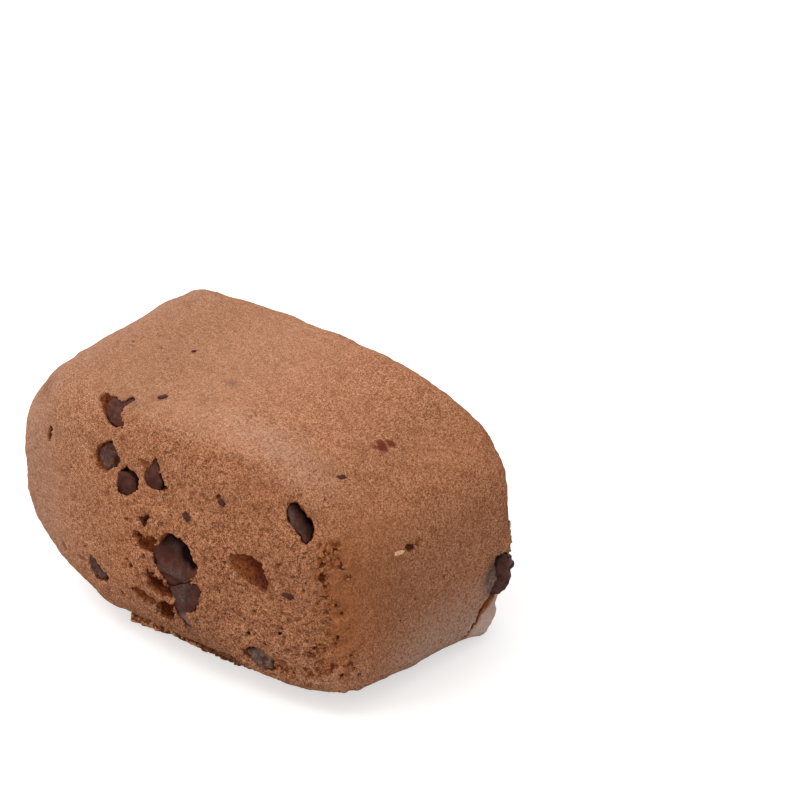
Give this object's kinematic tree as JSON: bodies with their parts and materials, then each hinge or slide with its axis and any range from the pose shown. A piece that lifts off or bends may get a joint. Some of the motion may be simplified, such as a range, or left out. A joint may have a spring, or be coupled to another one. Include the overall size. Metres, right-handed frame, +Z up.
{
  "type": "chocolate chip brownie bar",
  "caption": "Short rounded bar of chocolate-chip brownie with smooth baked skin, two porous faces and dark chips sunk into the dough.",
  "frame": {"origin": "middle of the bar's box, on the surface it stands on", "axes": "+Z up; +X along the bar, left to right as the chip-filled face is seen; -Y out of that face"},
  "size_m": [0.0594, 0.0368, 0.0341],
  "materials": {
    "dough": null,
    "chocolate": null
  },
  "bodies": {
    "root": {"brownie_dough": "dough", "chip_ridge": "chocolate", "chip_domed": "chocolate", "chip_round": "chocolate", "chip_wedge": "chocolate", "chunk_upper": "chocolate", "chunk_lower": "chocolate", "chip_corner": "chocolate", "chip_low_left": "chocolate", "chip_base": "chocolate", "chip_side": "chocolate", "chip_back_1": "chocolate", "chip_back_2": "chocolate", "chip_back_3": "chocolate", "chip_back_4": "chocolate"}
  },
  "joints": []
}
